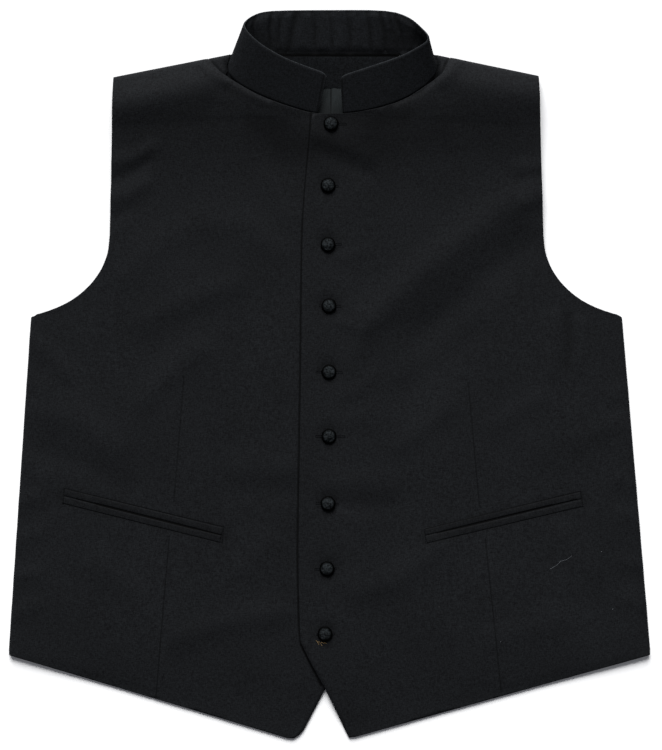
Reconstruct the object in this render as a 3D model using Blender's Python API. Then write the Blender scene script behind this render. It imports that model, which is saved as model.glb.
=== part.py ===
"""Clergy vest: black, sleeveless, with a band collar, buttoned and laid flat on its back.

Lengths are millimetres until a mesh is made. +Z is up from the surface that the vest lies on,
+Y runs from the hem to the collar and +X is the wearer's left. The origin is on that surface,
under the middle of the vest.
"""

import math

import bmesh
import bpy
from mathutils import Vector
from mathutils.bvhtree import BVHTree

MM = 0.001

# Walls: each is all the layers that the maker presses together in that piece.
FRONT_WALL = 2.0
BACK_WALL = 1.8
COLLAR_WALL = 1.6
COLLAR_FACING_WALL = 1.2
FACING_WALL = 1.0
JET_WALL = 1.1
SEAM_GAP = 0.3
REST_GAP = 0.35  # between a front and what is sewn on it

# A front's outer edge at the side and the shoulder rolls down to the surface.
ROLL_RADIUS = 4.0
ROLL_STEPS = 3
BACK_INSET = 3.0
ARMHOLE_INSET = 1.5
SETTLE_LENGTH = 30.0
SETTLED_LOFT = 0.25  # the share of a swell that is left once a front has settled past the back

# The left front laps over the right one, and comes down again past the right front's edge.
LAP_GAP = 0.6
LAP_REACH = 12.0
LAP_FALL = 26.0

# How far out from the middle (X = 0) and how high (Y) each front's corners lie: right, left.
CORNERS = {
    "hem corner": ((320.0, -279.8), (320.0, -279.6)),
    "side above hem": ((320.5, -272.0), (320.5, -272.0)),
    "underarm": ((298.5, 58.0), (292.5, 58.0)),
    "armhole": ((219.3, 140.0), (213.5, 140.0)),
    "shoulder tip": ((215.5, 297.6), (208.5, 298.8)),
    "shoulder neck": ((121.5, 316.2), (120.5, 317.2)),
    "shoulder seam": ((111.0, 303.5), (114.0, 303.0)),
    "neck corner": ((104.0, 298.2), (110.0, 295.6)),
    "hem end": ((42.0, -363.0), (25.5, -361.8)),
    "hem point": ((34.5, -363.1), (20.0, -362.9)),
    "cutaway start": ((26.4, -356.0), (16.8, -357.5)),
}
ARMHOLE_START_TURN = 20.0  # degrees from level at the underarm; the bend ends upright
ARMHOLE_DEEPER = 1.8  # how far the cut lies outside an ellipse half-way round the bend

# A front's edge from the cutaway up to the neck: how far each front reaches past the middle.
FRONT_EDGE = (
    # height, right front, left front
    (-316.0, -5.6, 2.6),
    (-270.0, 18.5, 27.5),
    (-250.0, 21.5, 29.5),
    (-175.0, 24.5, 31.0),
    (0.0, 25.5, 28.5),
    (150.0, 23.5, 26.5),
    (235.0, 20.5, 19.5),
    (259.6, 20.0, 17.5),
)

# Broad swells of the cloth where it stands off the layers below it.
SWELLS = (
    # place, x, y, half length, half width, turn in degrees, height
    ("right of neck", -94.5, 286.0, 52.0, 40.0, 0.0, 4.6),
    ("left of neck", 100.5, 284.0, 52.0, 40.0, 0.0, 4.6),
    ("front of neck", 1.5, 255.0, 60.0, 34.0, 0.0, 1.8),
    ("right shoulder", -170.0, 274.0, 60.0, 27.0, 7.0, 4.8),
    ("left shoulder", 165.0, 275.0, 60.0, 28.0, -7.0, 5.0),
    ("right chest", -128.0, 140.0, 85.0, 100.0, 0.0, 2.2),
    ("left chest", 122.0, 140.0, 85.0, 100.0, 0.0, 2.2),
    ("right waist", -165.0, -60.0, 110.0, 90.0, 0.0, 1.6),
    ("left waist", 165.0, -60.0, 110.0, 90.0, 0.0, 1.6),
    ("right skirt", -165.0, -235.0, 110.0, 55.0, 15.0, 1.2),
    ("left skirt", 165.0, -235.0, 110.0, 55.0, -15.0, 1.2),
    ("placket", -2.0, -20.0, 40.0, 230.0, 0.0, 0.7),
)

# The largest folds: soft ridges, or troughs where the height is below zero.
FOLDS = (
    # place, from x, y, to x, y, half width, height
    ("left chest roll", 198.0, 170.0, 62.0, 68.0, 20.0, 2.3),
    ("left chest trough", 192.0, 128.0, 88.0, 42.0, 19.0, -0.8),
    ("right chest roll", -190.0, 60.0, -140.0, 90.0, 16.0, 1.0),
    ("right waist roll", -178.0, -22.0, -128.0, 24.0, 13.0, 1.2),
    ("right pocket roll", -272.0, -36.0, -212.0, -78.0, 18.0, 1.1),
    ("left side dent", 238.0, 58.0, 236.0, 4.0, 14.0, -0.9),
    ("left skirt roll", 36.0, -222.0, 92.0, -176.0, 15.0, 0.9),
)

# The band collar, section by section round the neck from the right end to the left end. Each
# has a point of the outer cloth on the seam and one on the top edge. The back of the ring lies
# down and the front lies over it, so its outer cloth faces the surface behind and up in front.
COLLAR_SECTIONS = (
    # place, seam x, y, z, top x, y, z
    ("right end", -11.8, 260.7, 7.0, -3.0, 295.4, 14.6),
    ("right end corner", -15.4, 261.2, 7.1, -7.2, 300.2, 15.3),
    ("right front", -29.9, 264.6, 7.6, -21.3, 305.2, 16.5),
    ("right front side", -54.3, 272.6, 8.4, -45.1, 314.5, 18.0),
    ("right side", -75.2, 281.5, 9.0, -66.4, 326.5, 19.0),
    ("right side corner", -91.0, 290.6, 9.2, -78.3, 336.5, 18.6),
    ("right turn", -99.6, 299.6, 8.6, -83.8, 343.3, 16.5),
    ("right fold", -101.2, 308.2, 5.7, -85.7, 348.0, 13.0),
    ("right turn behind", -98.4, 315.4, 2.8, -83.1, 353.0, 9.8),
    ("right back corner", -87.5, 318.4, 0.9, -75.2, 358.3, 7.6),
    ("right back", -61.5, 319.3, 0.4, -57.3, 362.4, 6.6),
    ("centre back", 3.5, 319.6, 0.4, 0.5, 363.3, 6.2),
    ("left back", 65.5, 319.3, 0.4, 55.3, 362.5, 7.0),
    ("left back corner", 91.5, 318.2, 0.9, 79.1, 355.6, 9.6),
    ("left turn behind", 103.4, 315.0, 2.8, 91.8, 344.7, 15.0),
    ("left fold", 107.0, 308.1, 5.8, 98.6, 335.6, 20.2),
    ("left turn", 105.4, 299.6, 8.6, 97.0, 329.8, 22.6),
    ("left side corner", 97.6, 290.4, 9.6, 89.5, 325.0, 22.4),
    ("left side", 82.1, 278.9, 9.8, 73.8, 316.8, 21.0),
    ("left front side", 60.9, 269.7, 9.6, 55.0, 310.1, 19.5),
    ("left front", 36.3, 263.2, 9.3, 32.2, 302.8, 18.0),
    ("left end corner", 16.4, 260.9, 9.1, 15.4, 297.3, 17.0),
    ("left end", 13.2, 260.7, 9.1, 11.2, 293.2, 16.2),
)
SEAM_SIDE_CORNER = 5  # rows from either end of the table to the side corner
COLLAR_STEPS = 3
COLLAR_RISES = 5

POCKETS = {
    # middle of the slit x, y, length, slope in degrees up towards the side
    "right": (-186.5, -140.2, 162.0, 13.9),
    "left": (173.5, -141.9, 160.0, 13.1),
}
JET_WIDTH = 6.9
SLIT_WIDTH = 0.9
SLIT_GAPE = 1.1  # how much wider the slit is in its middle
JET_STEPS = 20
JET_PROFILE = (
    # share of the jet's width from the slit, share of its full thickness
    (0.0, 0.35),
    (0.12, 1.0),
    (0.5, 1.15),
    (0.9, 0.9),
    (1.0, 0.4),
)

BUTTON_DIAMETER = 15.4
BUTTON_HEIGHT = 6.4
SHANK_DIAMETER = 5.0
SHANK_HEIGHT = 1.3
BUTTON_SIDES = 18
BUTTON_PLACES = (
    # x, y, from the neck down
    (1.5, 250.0),
    (-1.5, 189.0),
    (-1.5, 130.0),
    (-0.5, 69.0),
    (-0.5, 3.0),
    (-0.5, -61.0),
    (-1.5, -128.0),
    (-2.5, -193.0),
    (-4.5, -258.0),
)

# Where the back meets the collar, and the facing and the strip of lining inside it.
BACK_NECK = 318.8
FACING_TOP = 318.4
FACING_DEPTH = 31.6
FACING_HALF_WIDTH = 78.0
FACING_SHAPE = (
    # one half from the neck down, as shares of the half width and of the depth
    (0.78, 0.0),
    (0.98, 0.05),
    (0.9, 0.6),
    (0.5, 1.0),
)
NECK_MIDDLE = 3.5
LINING_DEPTH = 46.0
LINING_HALF_WIDTH = 33.0

BACK_HEM_CORNER = -276.0
BACK_HEM_MIDDLE = -296.0

RIGHT, LEFT = -1, 1
CORNER_APEX = 0.83  # how far down the shoulder seam the back's shoulder corners reach
CORNER_COLUMNS = 4
CORNER_ROWS = 5
CORNER_APART = 1.0  # from the fronts, level: they lean together at the shoulder
CORNER_DROP = 0.9  # how much lower they lie than a front would there
CORNER_FALL = 0.45  # the share of their height that they lose towards the collar
CORNER_SIDES = {
    # width along the shoulder, then x, y of two points beside the collar's seam
    RIGHT: (22.5, (-102.6, 308.0), (-101.4, 300.4)),
    LEFT: (13.5, (108.6, 308.0), (107.4, 298.4)),
}
SHOULDER_SET_BACK = 3.1  # of the back's straight edge behind the shoulder line
NECK_CURVE = {
    # x, y on each side where the back's edge turns from the shoulder to the neck
    RIGHT: ((-96.6, 320.6), (-97.0, 315.2), (-84.5, 316.8), (-52.5, BACK_NECK)),
    LEFT: ((103.6, 320.2), (101.0, 315.2), (91.5, 316.8), (59.5, BACK_NECK)),
}


# ---------------------------------------------------------------------------------- outlines


def corner(name, side):
    """A named corner of one front, as (x, y)."""
    out, up = CORNERS[name][0 if side == RIGHT else 1]
    return Vector((side * out, up))


def smooth(points, steps):
    """Points along a smooth curve through the given ones (Catmull-Rom)."""
    ends = [points[0] * 2 - points[1], *points, points[-1] * 2 - points[-2]]
    curve = []
    for a, b, c, d in zip(ends, ends[1:], ends[2:], ends[3:]):
        for i in range(steps):
            t = i / steps
            bend = (a * 2 - b * 5 + c * 4 - d) * t + (b * 3 - a - c * 3 + d) * t * t
            curve.append(b + (c - a + bend) * t / 2)
    return [*curve, points[-1]]


def length(points):
    return sum((b - a).length for a, b in zip(points, points[1:]))


def at(points, distance):
    """The point that lies so far along a chain of points."""
    for a, b in zip(points, points[1:]):
        step = (b - a).length
        if distance <= step:
            return a.lerp(b, distance / step)
        distance -= step
    return points[-1].copy()


def armhole_bend(side, inset=0.0, steps=16):
    """The lower armhole: part of an ellipse, from the underarm to where it runs upright."""
    start, end = corner("underarm", side), corner("armhole", side)
    first = math.radians(ARMHOLE_START_TURN)
    wide = abs(start.x - end.x) / (1 - math.sin(first))
    high = (end.y - start.y) / math.cos(first)
    middle = Vector((end.x + side * wide, end.y))
    points = []
    for i in range(steps + 1):
        turn = first + (math.pi / 2 - first) * i / steps
        deeper = ARMHOLE_DEEPER * math.sin(math.pi * i / steps)
        out, down = wide + deeper + inset, high + deeper - inset
        reach = Vector((-side * math.sin(turn) * out, -math.cos(turn) * down))
        points.append(middle + reach)
    return points


def seam_points(side):
    """Where the collar meets a front, from its end to the side corner, a gap out from the collar."""
    rows = COLLAR_SECTIONS[: SEAM_SIDE_CORNER + 1]
    if side == LEFT:
        rows = COLLAR_SECTIONS[: -SEAM_SIDE_CORNER - 2 : -1]
    seam = smooth([Vector(row[1:3]) for row in rows], 4)
    moved = []
    for i, point in enumerate(seam):
        along = (seam[min(i + 1, len(seam) - 1)] - seam[max(i - 1, 0)]).normalized()
        moved.append(point - Vector((-side * along.y, side * along.x)) * 2 * SEAM_GAP)
    return moved


def inner_edge(side):
    """A front's edge: round the hem's point and up the front, then along the neck to the shoulder."""
    column = 1 if side == RIGHT else 2
    point = smooth([corner(n, side) for n in ("hem end", "hem point", "cutaway start")], 4)
    edge = smooth([Vector((-side * row[column], row[0])) for row in FRONT_EDGE], 6)
    shoulder = [corner(n, side) for n in ("neck corner", "shoulder seam", "shoulder neck")]
    return [*point, *edge], [*seam_points(side), *shoulder]


def outer_edge(side):
    """A front's edge: up the side to the underarm, then round the armhole to the shoulder."""
    side_seam = [corner(n, side) for n in ("hem corner", "side above hem", "underarm")]
    return side_seam, [*armhole_bend(side), corner("shoulder tip", side)]


# ------------------------------------------------------------------------------------ heights


def fade(distance, reach):
    """From 1 at no distance down to 0 at the reach, smoothly."""
    t = min(max(distance / reach, 0.0), 1.0)
    return 1 - t * t * (3 - 2 * t)


def swell_height(x, y):
    total = 0.0
    for _, mid_x, mid_y, long, wide, turn, height in SWELLS:
        cos, sin = math.cos(math.radians(turn)), math.sin(math.radians(turn))
        across = ((x - mid_x) * cos + (y - mid_y) * sin) / long
        along = ((y - mid_y) * cos - (x - mid_x) * sin) / wide
        total += height * math.exp(-across * across - along * along)
    return total


def fold_height(x, y):
    total = 0.0
    here = Vector((x, y))
    for _, x0, y0, x1, y1, half_width, height in FOLDS:
        start, run = Vector((x0, y0)), Vector((x1 - x0, y1 - y0))
        nearest = min(max((here - start).dot(run) / run.length_squared, 0.0), 1.0)
        off = (here - start - run * nearest).length / half_width
        total += height * math.exp(-off * off)
    return total


def back_hem(x):
    half = CORNERS["hem corner"][0][0]
    return BACK_HEM_MIDDLE + (BACK_HEM_CORNER - BACK_HEM_MIDDLE) * abs(x) / half


def right_front_reach(y):
    """How far past the middle the hidden edge of the right front lies at this height."""
    edge = [(row[0], row[1]) for row in FRONT_EDGE]
    start = CORNERS["cutaway start"][0]
    edge.insert(0, (start[1], -start[0]))
    for (low, a), (high, b) in zip(edge, edge[1:]):
        if y <= high:
            return a + (b - a) * max(y - low, 0.0) / (high - low)
    return edge[-1][1]


def front_height(x, y, side):
    """How high the top of a front lies, away from its rolled edges."""
    settled = BACK_WALL + SEAM_GAP
    past_hem = fade(back_hem(x) - y, SETTLE_LENGTH)
    loft = max(swell_height(x, y) + fold_height(x, y), 0.0)
    loft *= SETTLED_LOFT + (1 - SETTLED_LOFT) * past_hem
    height = FRONT_WALL + settled * past_hem + loft
    if side == LEFT:
        height += (FRONT_WALL + LAP_GAP) * fade(x - right_front_reach(y) - LAP_REACH, LAP_FALL)
    return height


def off_line(x, y, start, end):
    """How far a point lies inside the line from start to end."""
    run = (end - start).normalized()
    return abs(run.x * (y - start.y) - run.y * (x - start.x))


def roll(distance):
    """The share of the full height that a rolled edge has at this distance inside it."""
    short = 1 - min(distance / ROLL_RADIUS, 1.0)
    return math.sqrt(max(1 - short * short, 0.0))


def side_roll(x, y, side):
    return roll(off_line(x, y, corner("side above hem", side), corner("underarm", side)))


def shoulder_roll(x, y, side):
    return roll(off_line(x, y, corner("shoulder tip", side), corner("shoulder neck", side)))


def roll_offsets():
    """Distances from a rolled edge at which the cloth turns by even angles."""
    turns = [math.pi / 2 * i / ROLL_STEPS for i in range(ROLL_STEPS + 1)]
    return [ROLL_RADIUS * (1 - math.cos(turn)) for turn in turns]


# ------------------------------------------------------------------------------------- meshes


def material(name, colour, roughness):
    made = bpy.data.materials.new(name)
    made.use_nodes = True
    shader = made.node_tree.nodes["Principled BSDF"]
    shader.inputs["Base Color"].default_value = (*colour, 1.0)
    shader.inputs["Roughness"].default_value = roughness
    shader.inputs["Metallic"].default_value = 0.0
    return made


def finish(name, mesh_builder, surface):
    """Turns a bmesh in millimetres into a named object in metres."""
    bmesh.ops.recalc_face_normals(mesh_builder, faces=mesh_builder.faces)
    bmesh.ops.scale(mesh_builder, vec=(MM, MM, MM), verts=mesh_builder.verts)
    mesh = bpy.data.meshes.new(name)
    mesh_builder.to_mesh(mesh)
    mesh_builder.free()
    mesh.shade_smooth()
    mesh.set_sharp_from_angle(angle=math.radians(50))
    mesh.materials.append(surface)
    made = bpy.data.objects.new(name, mesh)
    bpy.context.collection.objects.link(made)
    return made


def between(name, lower, upper, surface):
    """A closed wall between two grids of points of the same size."""
    made = bmesh.new()
    low = [[made.verts.new(point) for point in row] for row in lower]
    top = [[made.verts.new(point) for point in row] for row in upper]
    rows, columns = len(low), len(low[0])
    for j in range(rows - 1):
        for i in range(columns - 1):
            made.faces.new((top[j][i], top[j][i + 1], top[j + 1][i + 1], top[j + 1][i]))
            made.faces.new((low[j][i], low[j + 1][i], low[j + 1][i + 1], low[j][i + 1]))
    rim = [(0, i) for i in range(columns)] + [(j, columns - 1) for j in range(1, rows)]
    rim += [(rows - 1, i) for i in reversed(range(columns - 1))]
    rim += [(j, 0) for j in reversed(range(1, rows - 1))]
    for (a, b), (c, d) in zip(rim, rim[1:] + rim[:1]):
        made.faces.new((top[a][b], low[a][b], low[c][d], top[c][d]))
    return finish(name, made, surface)


def normals(grid, facing):
    """A unit vector across the cloth at each point of a grid, on the side that facing gives."""
    rows, columns = len(grid), len(grid[0])
    found = []
    for j in range(rows):
        found.append([])
        for i in range(columns):
            across = grid[j][min(i + 1, columns - 1)] - grid[j][max(i - 1, 0)]
            along = grid[min(j + 1, rows - 1)][i] - grid[max(j - 1, 0)][i]
            found[-1].append(across.cross(along).normalized() * facing)
    return found


def sunk(grid, depth, facing):
    """The grid moved through the cloth, away from its outer side, but never under the surface."""
    moved = []
    for points, directions in zip(grid, normals(grid, facing)):
        moved.append([])
        for point, direction in zip(points, directions):
            inside = point - direction * depth
            inside.z = max(inside.z, 0.0)
            moved[-1].append(inside)
    return moved


def slab(name, outline, bottom, thickness, surface):
    """A flat piece: its outline, lifted by its thickness."""
    made = bmesh.new()
    face = made.faces.new([made.verts.new((point.x, point.y, bottom)) for point in outline])
    lifted = bmesh.ops.extrude_face_region(made, geom=[face])["geom"]
    top = [part for part in lifted if isinstance(part, bmesh.types.BMVert)]
    bmesh.ops.translate(made, vec=(0, 0, thickness), verts=top)
    return finish(name, made, surface)


# --------------------------------------------------------------------------------- the fronts

# How a front is divided: rows that join its outer edge to its inner edge.
FRONT_ROWS = (
    # stretch of both edges, rows, crowding towards its start
    ("hem end", 3, 1.0),
    ("side", 15, 1.1),
    ("armhole bend", 9, 1.35),
    ("lower armhole", 5, 1.0),
    ("neck", 11, 1.0),
)
FRONT_COLUMNS = 20
HEM_END = {"side": 9.0, "point": 19.5}  # the first rows, up the side and round the hem's point
UPRIGHT_ARMHOLE = 105.0  # the straight part of the armhole that faces the front edge
FRONT_BELOW_NECK = {"underarm": 214.0, "armhole": 100.0}  # where those rows meet the front edge
RIDGE_SLANT = 1.1  # the shoulder seam beside the neck is longer than its drop by this


def front_rows(side):
    """Pairs of points, one on the outer and one on the inner edge, from the hem to the shoulder."""
    (side_seam, armhole), (front_edge, neck) = outer_edge(side), inner_edge(side)
    outer, inner = side_seam + armhole, front_edge + neck
    underarm, bend_end = length(side_seam), length(side_seam) + length(armhole[:-1])
    top = length(front_edge)
    marks = (
        # along the outer edge, along the inner edge
        (0.0, 0.0),
        (HEM_END["side"], HEM_END["point"]),
        (underarm, top - FRONT_BELOW_NECK["underarm"]),
        (bend_end, top - FRONT_BELOW_NECK["armhole"]),
        (bend_end + UPRIGHT_ARMHOLE, top),
        (length(outer) - ROLL_RADIUS, length(inner) - ROLL_RADIUS * RIDGE_SLANT),
    )
    pairs = []
    for (_, count, crowding), start, end in zip(FRONT_ROWS, marks, marks[1:]):
        for i in range(count):
            share = (i / count) ** crowding
            a, b = (low + (high - low) * share for low, high in zip(start, end))
            pairs.append((at(outer, a), at(inner, b)))
    for offset in reversed(roll_offsets()):
        a, b = length(outer) - offset, length(inner) - offset * RIDGE_SLANT
        pairs.append((at(outer, a), at(inner, b)))
    return pairs


def front_grid(side):
    grid = []
    for start, end in front_rows(side):
        run = end - start
        rolled = [offset / run.length for offset in roll_offsets()]
        shares = rolled + [
            rolled[-1] + (1 - rolled[-1]) * (i + 1) / FRONT_COLUMNS for i in range(FRONT_COLUMNS)
        ]
        row = []
        for share in shares:
            x, y = start + run * share
            z = front_height(x, y, side) * side_roll(x, y, side) * shoulder_roll(x, y, side)
            row.append(Vector((x, y, z)))
        grid.append(row)
    return grid


def make_front(side, name, surface):
    grid = front_grid(side)
    facing = 1 if side == RIGHT else -1
    return between(name, sunk(grid, FRONT_WALL, facing), grid, surface)


# ----------------------------------------------------------------------------------- the back


def back_outline():
    """The back's edge, inside the fronts' outer edges, with a straight neck below the collar."""
    outline = []
    for side in (RIGHT, LEFT):
        hem, underarm = corner("side above hem", side), corner("underarm", side)
        tip, neck = corner("shoulder tip", side), corner("shoulder neck", side)
        shoulder = (neck - tip).normalized()
        drop = Vector((0, -SHOULDER_SET_BACK))
        part = [
            Vector((hem.x - side * BACK_INSET, BACK_HEM_CORNER)),
            underarm + Vector((-side * BACK_INSET, -BACK_INSET)),
            *armhole_bend(side, ARMHOLE_INSET)[1:],
            tip + Vector((-side * ARMHOLE_INSET, 0)) + drop,
            neck - shoulder * SEAM_GAP + drop,
            neck + shoulder * BACK_WALL + drop,
            neck + shoulder * BACK_WALL - Vector((0, SEAM_GAP)),
            *[Vector(point) for point in NECK_CURVE[side]],
        ]
        outline.append(part)
    right, left = outline
    return [*right, *reversed(left), Vector((0, BACK_HEM_MIDDLE))]


def shoulder_corner(side, surface):
    """The corner of the back that comes forward over the shoulder beside the collar."""
    tip, neck = corner("shoulder tip", side), corner("shoulder neck", side)
    along = (neck - tip).normalized()
    seam = [neck, corner("shoulder seam", side), corner("neck corner", side)]
    apart = along * CORNER_APART
    width, *beside_collar = CORNER_SIDES[side]
    collar = [neck + along * width, *[Vector(point) for point in beside_collar]]
    shares = [offset / length(seam) for offset in roll_offsets()]
    rolled = shares[-1]
    shares += [rolled + (CORNER_APEX - rolled) * (i + 1) / CORNER_ROWS for i in range(CORNER_ROWS)]
    grid = []
    for share in shares:
        start, end = at(seam, share * length(seam)) + apart, at(collar, share * length(collar))
        row = []
        for i in range(CORNER_COLUMNS + 1):
            x, y = start.lerp(end, i / CORNER_COLUMNS)
            fall = 1 - CORNER_FALL * (i / CORNER_COLUMNS) ** 2
            z = (front_height(x, y, RIGHT) - CORNER_DROP) * shoulder_roll(x, y, side) * fall
            row.append(Vector((x, y, z)))
        grid.append(row)
    facing = -1 if side == RIGHT else 1
    name = "right_corner" if side == RIGHT else "left_corner"
    return between(name, sunk(grid, BACK_WALL, facing), grid, surface)


def make_back(surface):
    back = slab("back", back_outline(), 0.0, BACK_WALL, surface)
    for side in (RIGHT, LEFT):
        piece = shoulder_corner(side, surface)
        piece.hide_render = True
        piece.display_type = "WIRE"
        join = back.modifiers.new("Shoulder corner", "BOOLEAN")
        join.operation = "UNION"
        join.object = piece
    return back


def make_facing(surface):
    outline = []
    for side, shape in ((RIGHT, FACING_SHAPE), (LEFT, reversed(FACING_SHAPE))):
        for out, down in shape:
            x = NECK_MIDDLE + side * out * FACING_HALF_WIDTH
            outline.append(Vector((x, FACING_TOP - down * FACING_DEPTH)))
    return slab("back_neck_facing", outline, BACK_WALL + SEAM_GAP, FACING_WALL, surface)


def make_lining(surface):
    top = FACING_TOP - FACING_DEPTH - SEAM_GAP
    half = LINING_HALF_WIDTH
    corners = ((-half, top), (half, top), (half, top - LINING_DEPTH), (-half, top - LINING_DEPTH))
    outline = [Vector((NECK_MIDDLE + x, y)) for x, y in corners]
    return slab("back_lining", outline, BACK_WALL + SEAM_GAP, FACING_WALL, surface)


# --------------------------------------------------------------------------------- the collar


def collar_grid():
    """The outer cloth of the collar: rows from the seam to the top, columns round the neck."""
    seam = smooth([Vector(row[1:4]) for row in COLLAR_SECTIONS], COLLAR_STEPS)
    top = smooth([Vector(row[4:7]) for row in COLLAR_SECTIONS], COLLAR_STEPS)
    grid = []
    for j in range(COLLAR_RISES + 1):
        grid.append([low.lerp(high, j / COLLAR_RISES) for low, high in zip(seam, top)])
    return grid


def make_collar(band_surface, facing_surface):
    outer = collar_grid()
    inside = COLLAR_WALL + SEAM_GAP
    between("collar_band", sunk(outer, COLLAR_WALL, -1), outer, band_surface)
    hidden, shown = sunk(outer, inside, -1), sunk(outer, inside + COLLAR_FACING_WALL, -1)
    between("collar_facing", shown, hidden, facing_surface)


# --------------------------------------------------------------------- what lies on the fronts


def surface_of(front):
    """A way to find the top of a front at any x, y in millimetres."""
    tree = BVHTree.FromPolygons(
        [vertex.co / MM for vertex in front.data.vertices],
        [polygon.vertices for polygon in front.data.polygons],
    )

    def height(x, y):
        return tree.ray_cast(Vector((x, y, 100.0)), Vector((0, 0, -1)))[0].z

    return height


def make_jet(name, pocket, upper, height, surface):
    """One jet of a pocket: a folded strip of cloth along one lip of the slit."""
    mid_x, mid_y, long, slope = pocket
    turn = math.radians(slope) * (-1 if mid_x < 0 else 1)
    along, across = Vector((math.cos(turn), math.sin(turn))), Vector((-math.sin(turn), math.cos(turn)))
    way = 1 if upper else -1
    lower_grid, upper_grid = [], []
    for j in range(JET_STEPS + 1):
        run = j / JET_STEPS - 0.5
        lip = SLIT_WIDTH / 2 + SLIT_GAPE / 2 * math.cos(math.pi * run)
        lower_row, upper_row = [], []
        for share, thick in JET_PROFILE:
            off = lip + (JET_WIDTH - lip + SLIT_WIDTH / 2) * share
            x, y = Vector((mid_x, mid_y)) + along * run * long + across * way * off
            z = height(x, y) + REST_GAP
            lower_row.append(Vector((x, y, z)))
            upper_row.append(Vector((x, y, z + JET_WALL * thick)))
        lower_grid.append(lower_row)
        upper_grid.append(upper_row)
    return between(name, lower_grid, upper_grid, surface)


def make_button(name, x, y, height, surface):
    """A covered button: a turned dome on a shank."""
    radius, shank = BUTTON_DIAMETER / 2, SHANK_DIAMETER / 2
    outline = (
        # distance from the middle, height over the cloth
        (0.0, 0.0),
        (shank, 0.0),
        (shank, SHANK_HEIGHT),
        (0.86 * radius, SHANK_HEIGHT + 0.3),
        (radius, SHANK_HEIGHT + 1.5),
        (0.93 * radius, SHANK_HEIGHT + 2.9),
        (0.68 * radius, BUTTON_HEIGHT - 1.0),
        (0.36 * radius, BUTTON_HEIGHT - 0.2),
        (0.0, BUTTON_HEIGHT),
    )
    made = bmesh.new()
    chain = [made.verts.new((across, 0, up)) for across, up in outline]
    edges = [made.edges.new(pair) for pair in zip(chain, chain[1:])]
    bmesh.ops.spin(
        made,
        geom=chain + edges,
        axis=(0, 0, 1),
        cent=(0, 0, 0),
        angle=math.tau,
        steps=BUTTON_SIDES,
        use_merge=True,
    )
    bmesh.ops.remove_doubles(made, verts=made.verts, dist=0.01)
    button = finish(name, made, surface)
    button.location = Vector((x, y, height(x, y) + REST_GAP)) * MM
    return button


# ------------------------------------------------------------------------------------ the vest


def clear_scene():
    for old in list(bpy.data.objects):
        bpy.data.objects.remove(old)


def make_vest():
    suiting = material("Black wool suiting", (0.0105, 0.0112, 0.0123), 0.85)
    inner_cloth = material("Black collar lining", (0.0100, 0.0108, 0.0120), 0.75)
    satin = material("Dark grey satin lining", (0.0180, 0.0200, 0.0212), 0.45)
    make_back(suiting)
    make_facing(suiting)
    make_lining(satin)
    fronts = {
        "right": make_front(RIGHT, "front_right", suiting),
        "left": make_front(LEFT, "front_left", suiting),
    }
    make_collar(suiting, inner_cloth)
    for side, front in fronts.items():
        height = surface_of(front)
        for part, upper in (("upper", True), ("lower", False)):
            make_jet(f"pocket_{side}_{part}_jet", POCKETS[side], upper, height, suiting)
    height = surface_of(fronts["left"])
    for number, (x, y) in enumerate(BUTTON_PLACES, 1):
        make_button(f"button_{number}", x, y, height, suiting)


clear_scene()
make_vest()
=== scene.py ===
# %% [markdown]
# # A clergy vest, laid flat
#
# A clergy vest is a black sleeveless garment that closes up to a standing band collar. This one
# lies on its back on a pale table and is seen from straight above. Its solids come ready in the
# frame. Each is copied here, softened and creased, and then the cloth, the covered buttons and
# the sewing are added. Lengths are metres in Blender, and the tables are in millimetres, so MM
# turns one into the other.

# %% Load the frame and keep its box
import math
import random

import bmesh
import bpy
import numpy as np
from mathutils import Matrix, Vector
from mathutils.bvhtree import BVHTree
from mathutils.geometry import intersect_point_line


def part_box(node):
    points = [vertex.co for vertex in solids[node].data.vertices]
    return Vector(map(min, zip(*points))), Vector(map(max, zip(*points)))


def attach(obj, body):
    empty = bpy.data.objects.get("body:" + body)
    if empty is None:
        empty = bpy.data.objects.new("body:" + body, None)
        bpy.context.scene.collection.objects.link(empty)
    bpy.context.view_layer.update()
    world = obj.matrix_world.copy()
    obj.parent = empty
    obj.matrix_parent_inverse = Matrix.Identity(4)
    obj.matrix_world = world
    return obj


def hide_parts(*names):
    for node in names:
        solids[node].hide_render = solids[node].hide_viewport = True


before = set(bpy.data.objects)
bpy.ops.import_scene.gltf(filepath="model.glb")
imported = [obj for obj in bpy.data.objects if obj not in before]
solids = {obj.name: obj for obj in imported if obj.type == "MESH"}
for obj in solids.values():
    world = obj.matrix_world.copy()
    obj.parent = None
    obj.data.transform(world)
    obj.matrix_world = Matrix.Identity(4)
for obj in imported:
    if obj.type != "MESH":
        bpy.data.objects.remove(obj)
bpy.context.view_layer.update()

MM = 0.001
random.seed(24)

# %% [markdown]
# ## Colours and nodes
#
# A colour is easiest to note as the hex value that a picture shows, which is sRGB. Blender's
# shaders want linear light, so one function converts it. A second one adds a node with its
# settings and its inputs in a single line, which keeps each material short enough to read.


# %% Two small helpers for materials
def linear(hex_colour):
    """An sRGB hex colour as Blender's linear RGBA."""
    parts = [int(hex_colour[i : i + 2], 16) / 255 for i in (0, 2, 4)]
    return (*[p / 12.92 if p <= 0.04045 else ((p + 0.055) / 1.055) ** 2.4 for p in parts], 1.0)


def add(tree, kind, inputs=(), **settings):
    """A node with its settings. Each input is a socket and a value, or the output that feeds it."""
    node = tree.nodes.new("ShaderNode" + kind)
    for name, value in settings.items():
        setattr(node, name, value)
    for socket, value in inputs:
        if isinstance(value, bpy.types.NodeSocket):
            tree.links.new(value, node.inputs[socket])
        else:
            node.inputs[socket].default_value = value
    return node


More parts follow.
